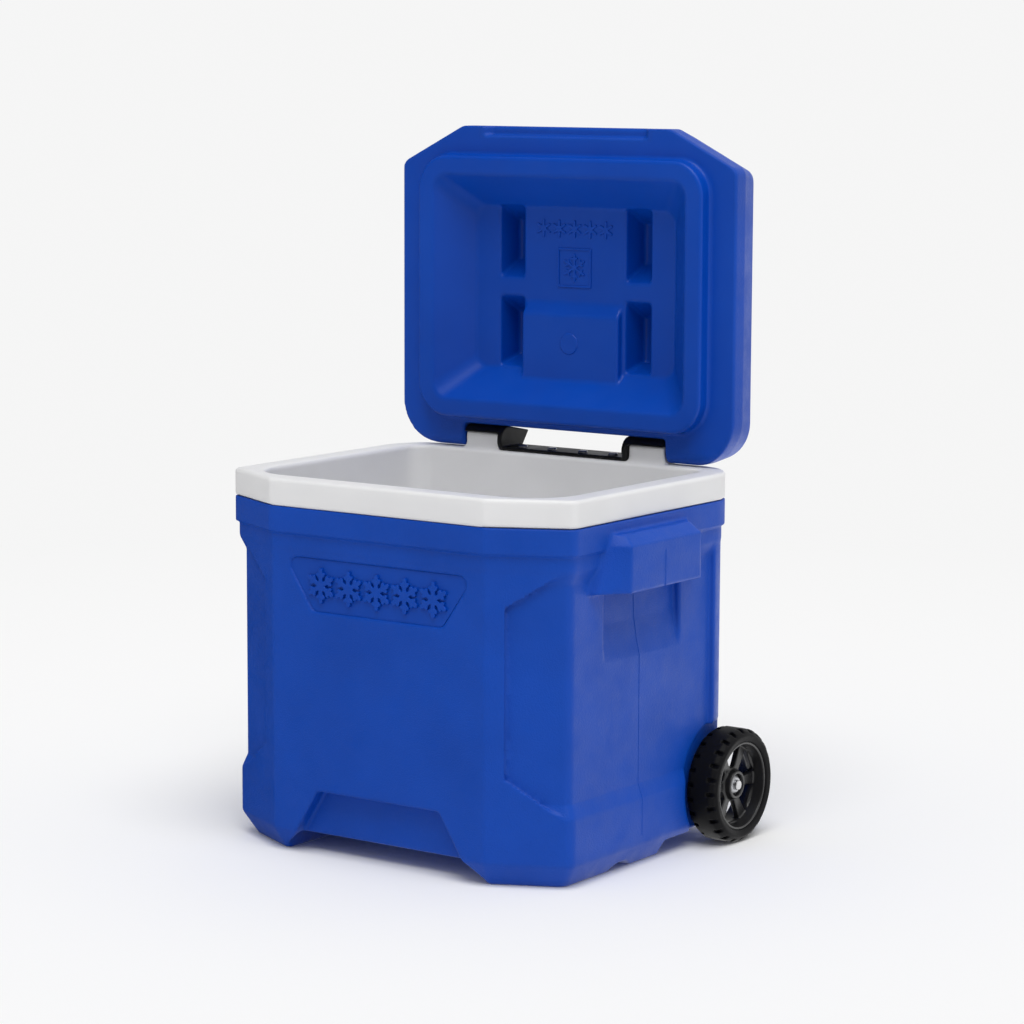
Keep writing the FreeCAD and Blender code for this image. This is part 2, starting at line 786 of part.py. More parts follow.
def bracket_screw_set(name):
    """Eight screws through the webs of the two brackets into the spine."""
    levels = ("(upper_bracket_low + 11)", "(lower_bracket_high - 8)")
    columns = ("-outer_screw_x", "-inner_screw_x", "inner_screw_x", "outer_screw_x")
    return fuse(name, *[pan_screw(f"{name}_{row}_{column}", x, "spine_y + bracket_web", level, "y")
                        for row, level in enumerate(levels) for column, x in enumerate(columns)])


node("inner_liner", inner_liner())
node("body_foam", body_foam())
node("outer_shell", cut("shell_with_holes", outer_shell(), base_plug_shape("shell_plug_hole"),
                        bracket_screw_set("shell_screw_holes")))
node("base_fill_plug", base_plug_shape("base_plug"))
node("front_label_plate", label_block("label_plate", "label_gap",
                                      "front_y + skirt_inset + label_depth - plate_thickness",
                                      "front_y + skirt_inset + label_depth"))
node("hinge_saddle", hinge_saddle())
node("saddle_screws", saddle_screw_set("saddle_screw_solids"))


# ---------------------------------------------------------------- wheels and axle

def wheel_hub():
    """Spoked hub on the right: rim band, web with tapered windows and a long boss."""
    blank = turned("hub_blank", [
        ("wheel_inner_x", "axle_radius + bore_gap"),
        ("nut_x - 0.3", "axle_radius + bore_gap"),
        ("nut_x - 0.3", "hub_radius - 2.5"),
        ("boss_outer_x", "hub_radius - 2.5"),
        ("boss_outer_x", "hub_radius"),
        ("web_x + web_thickness", "hub_radius + 1"),
        ("web_x + web_thickness", "rim_radius - rim_band"),
        ("wheel_outer_x - 2", "rim_radius - rim_band + 1"),
        ("wheel_outer_x - 2", "rim_radius"),
        ("wheel_inner_x + 1", "rim_radius"),
        ("wheel_inner_x + 1", "rim_radius - rim_band + 1"),
        ("web_x", "rim_radius - rim_band"),
        ("web_x", "hub_radius + 1"),
        ("wheel_inner_x", "hub_radius - 2"),
    ])
    windows = []
    for number in range(int(size("spoke_count"))):
        window = slab(f"window_{number}", "YZ", [
            ("-window_inner_half", "window_inner"),
            ("window_inner_half", "window_inner"),
            ("window_outer_half", "window_outer"),
            ("-window_outer_half", "window_outer"),
        ], "web_x - 1", "web_x + web_thickness + 1")
        turn = 360 * number / size("spoke_count")
        about_axle = FreeCAD.Rotation(FreeCAD.Vector(1, 0, 0), turn)
        window.Placement = FreeCAD.Placement(FreeCAD.Vector(), about_axle)
        windows.append(window)
    return cut("hub_solid", blank, *windows)


def wheel_tyre():
    """Tyre on the right wheel, with gaps between the cleats on both shoulders."""
    blank = turned("tyre_blank", [
        ("wheel_inner_x + 1", "rim_radius"),
        ("wheel_outer_x - 2", "rim_radius"),
        ("wheel_outer_x - 1", "rim_radius + 1"),
        ("wheel_outer_x", "rim_radius + 5"),
        ("wheel_outer_x - 2", "wheel_radius - 2"),
        ("wheel_outer_x - 5", "wheel_radius"),
        ("wheel_inner_x + 5", "wheel_radius"),
        ("wheel_inner_x + 2", "wheel_radius - 2"),
        ("wheel_inner_x", "rim_radius + 5"),
    ])
    gaps = []
    for number in range(int(size("cleat_count"))):
        for name, low, high in (("out", "wheel_outer_x - 8", "wheel_outer_x + 1"),
                                ("in", "wheel_inner_x - 1", "wheel_inner_x + 8")):
            gap = slab(f"cleat_gap_{name}_{number}", "YZ", [
                ("-cleat_gap_half", "wheel_radius - cleat_depth"),
                ("cleat_gap_half", "wheel_radius - cleat_depth"),
                ("cleat_gap_half", "wheel_radius + 2"),
                ("-cleat_gap_half", "wheel_radius + 2"),
            ], low, high)
            half_step = 0 if name == "out" else 0.5
            turn = 360 * (number + half_step) / size("cleat_count")
            spin = FreeCAD.Rotation(FreeCAD.Vector(1, 0, 0), turn)
            gap.Placement = FreeCAD.Placement(FreeCAD.Vector(), spin)
            gaps.append(gap)
    return cut("tyre_solid", blank, *gaps)


def push_nut():
    return turned("push_nut", [
        ("nut_x", "axle_radius"),
        ("nut_x + 3", "axle_radius"),
        ("nut_x + 3", "axle_radius + 1.5"),
        ("nut_x + 1", "axle_radius + 4"),
        ("nut_x", "axle_radius + 4"),
    ], y="wheel_y", z="wheel_radius")


def wheel_washer():
    return turned("washer", [
        ("well_x", "axle_radius + bore_gap"),
        ("wheel_inner_x - 0.3", "axle_radius + bore_gap"),
        ("wheel_inner_x - 0.3", "hub_radius - 1"),
        ("well_x", "hub_radius - 1"),
    ], y="wheel_y", z="wheel_radius")


def axle():
    return turned("axle_bar", [
        ("-axle_half", "0"),
        ("axle_half", "0"),
        ("axle_half", "axle_radius - 0.6"),
        ("axle_half - 0.6", "axle_radius"),
        ("0.6 - axle_half", "axle_radius"),
        ("-axle_half", "axle_radius - 0.6"),
    ], y="wheel_y", z="wheel_radius")


node("axle", axle())
node("wheel_push_nuts", both_sides("push_nut_pair", push_nut()))
node("wheel_washers", both_sides("washer_pair", wheel_washer()))
right_hub = node("right_wheel_hub", place(wheel_hub(), y="wheel_y", z="wheel_radius"))
node("left_wheel_hub", mirrored("hub_left", right_hub))
right_tyre = node("right_tyre", place(wheel_tyre(), y="wheel_y", z="wheel_radius"))
node("left_tyre", mirrored("tyre_left", right_tyre))


# ---------------------------------------------------------------- lid, in its closed place

def lid_cutback():
    """Spaces at the back of the lid for the hinge posts and round about the hinge."""
    middle = box("lid_cutback", ("-cutback_half", "cutback_half"),
                 ("hinge_y - cutback", "rear_y + 5"), ("lid_bottom - 10", "lid_top + 5"))
    corner = box("lid_corner", ("-half_width", "half_width"), ("hinge_y", "rear_y + 5"),
                 ("lid_bottom - 10", "hinge_z"))
    barrel = rod("lid_barrel", "hinge_round", "-half_width - 1", "half_width + 1",
                 y="hinge_y", z="hinge_z", along="x")
    return fuse("lid_clearances", middle, cut("lid_corner_round", corner, barrel))


def lid_blank():
    """Outer form of the lid: upright edge, sloped shoulder and crowned top."""
    edge = prism("lid_edge", "lid_inset", "lid_bottom", "lid_edge_top", "0")
    shoulder = taper("lid_shoulder_block", dict(level="lid_edge_top", inset="lid_inset", rear="0"),
                     dict(level="lid_shoulder", inset="lid_shoulder_inset", rear="lid_shoulder_rear"))
    crown = taper("lid_crown",
                  dict(level="lid_shoulder", inset="lid_shoulder_inset", rear="lid_shoulder_rear"),
                  dict(level="lid_top", inset="lid_top_inset", rear="lid_top_rear"))
    return fuse("lid_form", edge, shoulder, crown)


def lift_recess(name, end, height):
    """Recess for the fingers under the front lip."""
    return slab(name, "XZ", [
        ("-lift_half", "lid_bottom - 1"),
        ("lift_half", "lid_bottom - 1"),
        ("lift_half - 6", f"lid_bottom + {height}"),
        ("6 - lift_half", f"lid_bottom + {height}"),
    ], "front_y - 2", f"front_y + {end}")


def lid_space():
    """Foam space inside the lid, clear of the hinge blocks and the front lip."""
    edge = prism("lid_room_edge", "lid_inset + lid_wall", "lid_bottom", "lid_edge_top")
    shoulder = taper("lid_room_shoulder", dict(level="lid_edge_top", inset="lid_inset + lid_wall"),
                     dict(level="lid_shoulder", inset="lid_shoulder_inset + lid_wall"))
    crown = taper("lid_room_crown", dict(level="lid_shoulder", inset="lid_shoulder_inset + lid_wall"),
                  dict(level="lid_top - lid_wall", inset="lid_top_inset"))
    hinge_blocks = box("lid_hinge_blocks", ("-hinge_block_half", "hinge_block_half"),
                       ("hinge_y - cutback - lid_wall", "rear_y + 5"), ("lid_bottom - 1", "lid_top"))
    return cut("lid_room", fuse("lid_room_block", edge, shoulder, crown), hinge_blocks,
               lip_block("room_lip"), rear_strip("room_strip"))


def lip_block(name):
    """Part of the lid round the finger recess, which belongs to the shell alone."""
    return box(name, ("-lift_half - 3", "lift_half + 3"), ("front_y", "front_y + lift_depth + lid_wall"),
               ("lid_bottom - 1", "lid_bottom + lift_height + lid_wall"))


def rear_strip(name):
    """Lower rear edge of the lid, which the shell alone rounds about the hinge."""
    return box(name, ("-half_width", "half_width"), ("hinge_y - 2", "rear_y + 5"),
               ("lid_bottom - 1", "hinge_z"))


def pocket(name, side, front, rear, rear_slope, grow):
    """Pocket in the dish floor with sloped ends, grown outwards for its outer side."""
    inner, outer = ("pocket_inner", "pocket_outer") if side > 0 else ("-pocket_outer", "-pocket_inner")
    mouth = "lid_bottom + dish_depth - plug_drop"

    def section(part, height, draft, front_run, rear_run):
        return polygon(f"{name}_{part}", "XY", [
            (f"{inner} + {draft} - {grow}", f"{front} + {front_run} - {grow}"),
            (f"{outer} - {draft} + {grow}", f"{front} + {front_run} - {grow}"),
            (f"{outer} - {draft} + {grow}", f"{rear} - {rear_run} + {grow}"),
            (f"{inner} + {draft} - {grow}", f"{rear} - {rear_run} + {grow}"),
        ], height)

    return loft(name, [section("mouth", f"{mouth} - 0.5", "0", "0", "0"),
                       section("end", f"{mouth} + pocket_depth + {grow}", "pocket_draft",
                               "pocket_slope", rear_slope)])


def pockets(name, grow):
    rows = (("front_pocket_front", "front_pocket_rear", "pocket_slope"),
            ("rear_pocket_front", "rear_pocket_rear", "pocket_rear_slope"))
    solids = [pocket(f"{name}_{index}_{'right' if side > 0 else 'left'}", side, *row, grow)
              for index, row in enumerate(rows) for side in (1, -1)]
    return fuse(name, *solids)


def dish(name, grow):
    """Sloped hollow inside the plug ring, grown outwards for its outer side."""
    low = "lid_bottom - plug_drop"
    return basin(name, dict(level=f"{low} - 0.01", inset=f"dish_inset - {grow}", radius="dish_radius"),
                 dict(level=f"{low} + dish_depth + {grow}", inset=f"dish_floor_inset - {grow}",
                      radius="dish_floor_radius"))


def lid_liner_form():
    """Solid outer side of the lid liner: flange, plug ring and the backs of the hollows."""
    flange = prism("lid_flange", "lid_inset + lid_wall", "lid_bottom", "lid_bottom + flange_thickness")
    plug = basin("lid_plug", dict(level="lid_bottom - plug_drop", inset="plug_inset + plug_bevel",
                                  radius="(plug_radius - plug_bevel)"),
                 dict(level="lid_bottom", inset="plug_inset", radius="plug_radius"))
    back = dish("dish_back", "liner_wall")
    tail = box("flange_tail", ("-hinge_block_half", "hinge_block_half"),
               ("hinge_y - cutback - lid_wall", "rear_y + 5"), ("lid_bottom - 1", "lid_top"))
    union = fuse("lid_liner_union", flange, plug, back, pockets("pocket_backs", "liner_wall"))
    return cut("lid_liner_block", union, lip_block("flange_lip"), rear_strip("flange_strip"), tail)


def centre_block():
    """Raised rear part of the block between the pockets, bevelled at its front."""
    floor = "(lid_bottom + dish_depth - plug_drop)"
    return slab("centre_block", "YZ", [
        ("block_front", f"{floor} - block_drop"),
        ("rear_y - dish_floor_inset + 10", f"{floor} - block_drop"),
        ("rear_y - dish_floor_inset + 3", f"{floor} + 1"),
        ("block_front - block_bevel", f"{floor} + 1"),
    ], "-block_half", "block_half")


def lid_plug_shape(name):
    """Round cap in the filling hole of the lid."""
    face = "lid_bottom + dish_depth - plug_drop - block_drop"
    return turned(name, [
        (f"{face} - 0.6", "0"),
        (f"{face} + 5", "0"),
        (f"{face} + 5", "6"),
        (f"{face}", "6"),
        (f"{face}", "8.5"),
        (f"{face} - 0.6", "8"),
    ], y="block_front + fill_plug_back", axis="z")


def hinge_pin(name):
    return turned(name, [
        ("pin_inner + 0.5", "0"),
        ("pin_outer", "0"),
        ("pin_outer", "pin_radius"),
        ("pin_inner + 1.3", "pin_radius"),
        ("pin_inner + 0.5", "pin_radius - 0.8"),
    ], y="hinge_y", z="hinge_z")


room = lid_space()
liner_form = lid_liner_form()
hollows = fuse("lid_hollows", dish("dish_room", "0"), pockets("pocket_rooms", "0"))
liner_full = fuse("lid_liner_full", cut("lid_liner_open", liner_form, hollows), centre_block())
liner_solid = cut("lid_liner_solid", liner_full, lid_plug_shape("lid_plug_hole"))
pins = both_sides("pin_pair", hinge_pin("pin_right"))
shell_solid = cut("lid_shell_solid", lid_blank(), room, lid_cutback(),
                  lift_recess("lift_recess", "lift_depth", "lift_height"), liner_form, pins)
foam_solid = cut("lid_foam_solid", room, liner_form, lid_plug_shape("lid_foam_plug_hole"))

node("lid_shell", open_lid(shell_solid))
node("lid_liner", open_lid(liner_solid))
node("lid_foam", open_lid(foam_solid))
node("lid_fill_plug", open_lid(lid_plug_shape("lid_cap")))
node("hinge_pins", open_lid(pins))


# ---------------------------------------------------------------- pull handle

def pair_of_tubes(name, radius, bore, low, high):
    """Two upright tubes, one each side of the middle."""
    tube = cut(name + "_tube", rod(name + "_outside", radius, low, high, x="tube_x", y="tube_y"),
               rod(name + "_inside", bore, f"{low} - 1", f"{high} + 1", x="tube_x", y="tube_y"))
    return both_sides(name, tube)


def bracket(name, low, high):
    """Web against the spine with a boss round each outer tube."""
    block = box(name + "_block", ("-bracket_half", "bracket_half"), ("spine_y", "bracket_rear"), (low, high))
    soft = rounded(name + "_soft", block, "4", runs_along(FreeCAD.Vector(0, 0, 1)))
    gap = box(name + "_gap", ("-bracket_gap_half", "bracket_gap_half"),
              ("spine_y + bracket_web", "bracket_rear + 1"), (f"{low} - 1", f"{high} + 1"))
    return cut(name + "_web", soft, gap)


def upper_bracket():
    holes = both_sides("upper_holes", rod("upper_hole", "outer_tube_radius", "upper_bracket_low - 1",
                                          "outer_tube_top + 1", x="tube_x", y="tube_y"))
    return cut("upper_bracket_solid", bracket("upper", "upper_bracket_low", "outer_tube_top"), holes,
               bracket_screw_set("upper_screw_holes"))


def lower_bracket():
    holes = both_sides("lower_holes", rod("lower_hole", "outer_tube_radius", "outer_tube_foot",
                                          "lower_bracket_high + 1", x="tube_x", y="tube_y"))
    return cut("lower_bracket_solid", bracket("lower", "lower_bracket_low", "lower_bracket_high"), holes,
               bracket_screw_set("lower_screw_holes"))


def mid_collars():
    """Guide rings that cap the middle tubes."""
    return pair_of_tubes("mid_collar_pair", "outer_tube_radius - 0.3", "inner_tube_radius + 0.06",
                         "outer_tube_top + 0.2", "outer_tube_top + 0.2 + collar_height")


def handle_form():
    """Whole hand grip: cross bar with a leg round each inner tube."""
    low = "outer_tube_top + collar_height + 1"
    block = box("handle_block", ("-handle_half", "handle_half"),
                ("tube_y - handle_depth / 2", "tube_y + handle_depth / 2"), (low, "handle_top"))
    soft = rounded("handle_soft", block, "5", runs_along(FreeCAD.Vector(0, 0, 1)))
    gap = box("handle_gap", ("-handle_gap_half", "handle_gap_half"),
              ("tube_y - handle_depth", "tube_y + handle_depth"), (f"{low} - 1", "handle_gap_top"))
    slot = box("handle_slot", ("-slot_half", "slot_half"), ("tube_y - 4.5", "tube_y + 4.5"),
               ("slot_low", "slot_high"))
    window = box("button_window", ("-button_half - 0.3", "button_half + 0.3"),
                 ("tube_y - button_depth / 2 - 0.3", "tube_y + button_depth / 2 + 0.3"),
                 ("slot_high - 1", "handle_top + 1"))
    socket = rod("handle_socket", "inner_tube_radius", f"{low} - 1", "slot_low", x="tube_x", y="tube_y")
    sockets = both_sides("handle_sockets", socket)
    return cut("handle_form", soft, gap, slot, window, sockets)


def handle_half_space(name, low, high):
    return box(name, ("-handle_half - 1", "handle_half + 1"),
               ("tube_y - handle_depth", "tube_y + handle_depth"), (low, high))


def release_bar():
    """Bar under the button with a rod down each inner tube."""
    bar = box("release_cross_bar", ("-slot_half + 1", "slot_half - 1"), ("tube_y - 3.5", "tube_y + 3.5"),
              ("slot_low + 4", "slot_high - 2"))
    rods = both_sides("release_rod_pair", rod("release_rod", "rod_radius", "inner_tube_foot + 8",
                                              "slot_low + 4", x="tube_x", y="tube_y"))
    return fuse("release_bar_solid", bar, rods)


def release_button():
    block = box("button_block", ("-button_half", "button_half"),
                ("tube_y - button_depth / 2", "tube_y + button_depth / 2"), ("slot_high - 2", "button_top"))
    return rounded("button_solid", block, "2", runs_along(FreeCAD.Vector(0, 0, 1)))


grip = handle_form()
node("upper_bracket", upper_bracket())
node("lower_bracket", lower_bracket())
node("bracket_screws", bracket_screw_set("bracket_screw_solids"))
node("outer_tubes", pair_of_tubes("outer_tube_pair", "outer_tube_radius", "outer_tube_bore",
                                  "outer_tube_foot", "outer_tube_top"))
node("mid_tubes", pair_of_tubes("mid_tube_pair", "mid_tube_radius", "mid_tube_bore",
                                "mid_tube_foot", "outer_tube_top + 0.2"))
node("mid_tube_collars", mid_collars())
node("inner_tubes", pair_of_tubes("inner_tube_pair", "inner_tube_radius", "inner_tube_bore",
                                  "inner_tube_foot", "slot_low"))
lower_space = handle_half_space("lower_half", "outer_tube_top", "handle_split")
upper_space = handle_half_space("upper_half", "handle_split", "handle_top + 1")
node("handle_grip_lower", common("grip_lower", grip, lower_space))
node("handle_grip_upper", common("grip_upper", grip, upper_space))
node("release_bar", release_bar())
node("release_button", release_button())


# ---------------------------------------------------------------- checks and files

doc.recompute()
faults = [item.Name for item in doc.Objects if {"Invalid", "Error"} & set(item.State)]
faults += [item.Label for item in nodes if item.Shape.isNull() or not item.Shape.isValid()]
if faults:
    raise SystemExit("failed objects: " + ", ".join(faults))
os.makedirs("parts", exist_ok=True)
for item in nodes:
    item.Shape.exportStep(f"parts/{item.Label}.step")
    bounds = item.Shape.BoundBox
    print(f"{item.Label:20s} {len(item.Shape.Solids)} solids {item.Shape.Volume / 1000:9.2f} cm3 "
          f"x {bounds.XMin:7.1f} {bounds.XMax:7.1f} y {bounds.YMin:7.1f} {bounds.YMax:7.1f} "
          f"z {bounds.ZMin:7.1f} {bounds.ZMax:7.1f}")
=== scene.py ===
import json
import math

import bmesh
import bpy
import numpy as np
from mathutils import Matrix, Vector
from mathutils.bvhtree import BVHTree
from mathutils.kdtree import KDTree


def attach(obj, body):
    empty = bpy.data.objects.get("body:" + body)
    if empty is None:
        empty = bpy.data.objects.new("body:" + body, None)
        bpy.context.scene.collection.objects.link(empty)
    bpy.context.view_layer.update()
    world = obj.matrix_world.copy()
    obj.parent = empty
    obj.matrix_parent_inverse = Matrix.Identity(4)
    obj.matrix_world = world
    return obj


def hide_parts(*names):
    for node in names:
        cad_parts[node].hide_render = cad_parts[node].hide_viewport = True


# A small wheeled picnic cooler with its lid open.  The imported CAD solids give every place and
# size; the moulded pieces here are those solids with the soft, rounded edges of real mouldings.
# Metres, +Z up, the front faces -Y.

MM = 0.001

# Mouldings: the angle that makes a crease; the gap to another piece that makes it a joint, how far
# from a joint the wall stays nearly sharp, how firmly and after how many rounds; the share of a
# reach where a fillet starts to fade; the drift of a point in one round; how close points must lie
# to be welded into one; heights of the ledge under the collar, which stays sharp like a joint.
SHARP = math.radians(24)
JOINT_GAP = 0.1 * MM
JOINT_REACH = 1.2 * MM
JOINT_HOLD = 0.75
FADE_START = 0.35
JOINT_ROUNDS = 2
DRIFT = 0.5
WELD = 0.002 * MM
LEDGE_LOW, LEDGE_HIGH = 247.8 * MM, 252.5 * MM

# Stage: brightness of the backdrop, of the light from all around and of what gloss reflects;
# where that glow lies, and its gain on the floor near and far with the two distances; the floor's
# size and where it fades into the backdrop; the lamp.
BACKDROP = 0.918
AMBIENT = 0.50
MIRRORED = 1.0
BRIGHT_SIDE = (0.62, 0.78, 0.1)
GLOW_FROM, GLOW_FULL = -0.25, 0.55
FLOOR_GLOW = (2.3, 0.9, 0.25, 1.5)
FLOOR_HALF = 14.0
FADE_NEAR, FADE_FAR = 0.45, 1.6
KEY_WAY = (-0.30, 0.30, -1.0)
KEY_STRENGTH = 1.85
KEY_SPREAD = math.radians(45)

# Camera: where it stands, what it looks at, its roll, its focal length and sensor in millimetres.
EYE = (1.4594, -2.03445, 0.6044)
AIM = (0.048, -0.04905, 0.2636)
ROLL = 0.004
FOCAL_LENGTH, SENSOR = 113.47, 36.0
VIEW_END = 60.0

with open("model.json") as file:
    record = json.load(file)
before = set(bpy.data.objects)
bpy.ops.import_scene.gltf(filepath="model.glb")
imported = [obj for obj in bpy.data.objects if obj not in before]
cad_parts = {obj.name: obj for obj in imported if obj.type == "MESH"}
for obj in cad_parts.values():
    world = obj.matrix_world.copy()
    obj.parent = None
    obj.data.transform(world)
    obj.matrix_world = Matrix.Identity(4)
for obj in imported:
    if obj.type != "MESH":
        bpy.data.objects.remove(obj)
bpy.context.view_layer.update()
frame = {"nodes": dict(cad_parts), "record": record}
scene = bpy.context.scene


# ---------------------------------------------------------------- mesh helpers

def add(name, mesh):
    item = bpy.data.objects.new(name, mesh)
    scene.collection.objects.link(item)
    return item


def evaluated(item):
    """Mesh of an item after its modifiers."""
    graph = bpy.context.evaluated_depsgraph_get()
    return bpy.data.meshes.new_from_object(item.evaluated_get(graph))


def baked(item):
    """Replace an item's mesh with the mesh its modifiers give."""
    before = item.data
    item.data = evaluated(item)
    item.modifiers.clear()
    bpy.data.meshes.remove(before)
    return item


def points_of(mesh):
    flat = np.empty(len(mesh.vertices) * 3, np.float32)
    mesh.vertices.foreach_get("co", flat)
    return flat.reshape(-1, 3).astype(float)


def edges_of(mesh):
    flat = np.empty(len(mesh.edges) * 2, np.int32)
    mesh.edges.foreach_get("vertices", flat)
    return flat.reshape(-1, 2)


def relaxed(points, edges, rounds):
    """Each point drifts towards the mean of its neighbours."""
    count = len(points)
    a, b = edges[:, 0], edges[:, 1]
    valence = np.bincount(a, minlength=count) + np.bincount(b, minlength=count)
    for _ in range(rounds):
        for axis in range(3):
            column = points[:, axis]
            total = np.bincount(a, column[b], count) + np.bincount(b, column[a], count)
            points[:, axis] = column + DRIFT * (total / valence - column)
    return points


def sharp_places(bm, spacing):
    """Points along every crease of a mesh."""
    places = []
    for edge in bm.edges:
        if len(edge.link_faces) == 2 and edge.calc_face_angle() > SHARP:
            start, end = edge.verts[0].co, edge.verts[1].co
            steps = max(1, round((end - start).length / spacing))
            places += [start.lerp(end, (k + 0.5) / steps) for k in range(steps)]
    return places


def node_mesh(nodes):
    """Welded copy of CAD nodes, in the shared frame."""
    bm = bmesh.new()
    for node in nodes:
        bm.from_mesh(frame["nodes"][node].data)
    bmesh.ops.remove_doubles(bm, verts=bm.verts, dist=WELD)
    return bm


def surface_of(nodes):
    bm = node_mesh(nodes)
    tree = BVHTree.FromBMesh(bm)
    bm.free()
    return tree


def tree_of(places):
    tree = KDTree(len(places))
    for index, place in enumerate(places):
        tree.insert(place, index)
    tree.balance()
    return tree


def eased(value):
    value = min(1.0, max(0.0, value))
    return value * value * (3 - 2 * value)


def thinned(item, faces):
    """At most `faces` triangles, two to each quad of the remesh, with smooth shading."""
    thin = item.modifiers.new("thin", "DECIMATE")
    thin.ratio = min(1.0, faces / (2 * len(item.data.polygons)))
    baked(item)
    item.data.polygons.foreach_set("use_smooth", [True] * len(item.data.polygons))


def voxelled(item, voxel):
    remesh = item.modifiers.new("remesh", "REMESH")
    remesh.mode = "VOXEL"
    remesh.voxel_size = voxel
    baked(item)


def moulded(name, nodes, voxel, reach, rounds, faces, body, against):
    """One closed moulding made from CAD nodes: creases become fillets that fade out at
    `reach` from them, and everywhere else the surface is exactly the CAD surface.  Creases
    that lie on the nodes in `against` are joints between pieces and stay nearly sharp, and so
    does the ledge under the shell's collar."""
    bm = node_mesh(nodes)
    creases = sharp_places(bm, 0.5 * voxel)
    bmesh.ops.triangulate(bm, faces=bm.faces)
    surface = BVHTree.FromBMesh(bm)
    mesh = bpy.data.meshes.new(name)
    bm.to_mesh(mesh)
    bm.free()
    item = add(name, mesh)
    voxelled(item, voxel)

    joints = []
    if against:
        other = surface_of(against)
        joints = [place for place in creases if other.find_nearest(place)[3] < JOINT_GAP
                  or "outer_shell" in nodes and LEDGE_LOW < place.z < LEDGE_HIGH]
    near = tree_of(creases)
    near_joint = tree_of(joints) if joints else None
    edges = edges_of(item.data)
    tight = relaxed(points_of(item.data), edges, JOINT_ROUNDS)
    points = relaxed(tight.copy(), edges, rounds - JOINT_ROUNDS)
    for index, point in enumerate(points):
        share = eased((near.find(point)[2] / reach - FADE_START) / (1 - FADE_START))
        if near_joint:
            joint = 1 - eased((near_joint.find(point)[2] - JOINT_REACH) / JOINT_REACH)
            if joint > 0:
                point += joint * (tight[index] - point)
                share = max(share, JOINT_HOLD * joint)
        if share > 0:
            points[index] += share * (np.array(surface.find_nearest(point)[0]) - point)
    item.data.vertices.foreach_set("co", points.astype(np.float32).ravel())
    item.data.update()
    thinned(item, faces)
    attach(item, body)
    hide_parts(*nodes)
    return item


def finished_by_node(item, finishes):
    """Each face takes the finish of the CAD node that it lies on."""
    trees = [surface_of([node]) for node in finishes]
    for finish in finishes.values():
        item.data.materials.append(finish)
    for face in item.data.polygons:
        gaps = [tree.find_nearest(face.center)[3] for tree in trees]
        face.material_index = gaps.index(min(gaps))


# ---------------------------------------------------------------- materials

# Per metre: clouds of colour, smears of gloss and slow waves in a moulded wall.
CLOUDS, SMEARS, WAVES = 14.0, 60.0, 9.0
WAVE_DEPTH = 1.2 * MM
STREAK_DEPTH = 0.02 * MM


def material(name, colour, roughness, specular=0.5, metallic=0.0):
    made = bpy.data.materials.new(name)
    made.use_nodes = True
    shader = made.node_tree.nodes["Principled BSDF"]
    shader.inputs["Base Color"].default_value = (*colour, 1)
    shader.inputs["Roughness"].default_value = roughness
    shader.inputs["Specular IOR Level"].default_value = specular
    shader.inputs["Metallic"].default_value = metallic
    return made


def link(made, out, into):
    made.node_tree.links.new(out, into)


def place_node(made):
    """Coordinates that stay with the piece, in metres."""
    return made.node_tree.nodes.new("ShaderNodeTexCoord").outputs["Object"]


def noise(made, coordinates, spots, detail=3.0, rough=0.55):
    node = made.node_tree.nodes.new("ShaderNodeTexNoise")
    node.inputs["Scale"].default_value = spots
    node.inputs["Detail"].default_value = detail
    node.inputs["Roughness"].default_value = rough
    link(made, coordinates, node.inputs["Vector"])
    return node.outputs["Fac"]


def ranged(made, value, low, high, from_low=0.3, from_high=0.7):
    node = made.node_tree.nodes.new("ShaderNodeMapRange")
    node.inputs["From Min"].default_value = from_low
    node.inputs["From Max"].default_value = from_high
    node.inputs["To Min"].default_value = low
    node.inputs["To Max"].default_value = high
    link(made, value, node.inputs["Value"])
    return node.outputs["Result"]


def mixed(made, factor, low, high):
    node = made.node_tree.nodes.new("ShaderNodeMix")
    node.data_type = "RGBA"
    node.inputs[6].default_value = (*low, 1)
    node.inputs[7].default_value = (*high, 1)
    link(made, factor, node.inputs[0])
    return node.outputs[2]


def bumped(made, height, depth, strength=1.0, below=None):
    node = made.node_tree.nodes.new("ShaderNodeBump")
    node.inputs["Distance"].default_value = depth
    node.inputs["Strength"].default_value = strength
    link(made, height, node.inputs["Height"])
    if below is not None:
        link(made, below, node.inputs["Normal"])
    return node.outputs["Normal"]


def plastic(name, dark, light, roughness, spread, grain, depth, specular):
    """Moulded plastic: a fine grain, slow waves in the wall, cloudy gloss and colour."""
    middle = tuple((a + b) / 2 for a, b in zip(dark, light))
    made = material(name, middle, roughness, specular)
    shader = made.node_tree.nodes["Principled BSDF"]
    where = place_node(made)
    cloud = noise(made, where, CLOUDS, 2.0)
    link(made, mixed(made, ranged(made, cloud, 0, 1), dark, light), shader.inputs["Base Color"])
    gloss = noise(made, where, SMEARS, 4.0)
    low, high = roughness - spread, roughness + spread
    link(made, ranged(made, gloss, low, high), shader.inputs["Roughness"])
    wave = bumped(made, noise(made, where, WAVES, 1.0), WAVE_DEPTH, 0.5)
    fine = bumped(made, noise(made, where, grain, 2.0, 0.6), depth, 1.0, wave)
    link(made, fine, shader.inputs["Normal"])
    return made


def metal(name, colour, roughness, along):
    """Drawn or turned metal with fine streaks along one axis."""
    made = material(name, colour, roughness, metallic=1.0)
    shader = made.node_tree.nodes["Principled BSDF"]
    stretch = made.node_tree.nodes.new("ShaderNodeMapping")
    stretch.inputs["Scale"].default_value = along
    link(made, place_node(made), stretch.inputs["Vector"])
    streak = noise(made, stretch.outputs["Vector"], 1.0, 3.0)
    link(made, ranged(made, streak, roughness - 0.08, roughness + 0.1), shader.inputs["Roughness"])
    link(made, bumped(made, streak, STREAK_DEPTH), shader.inputs["Normal"])
    return made


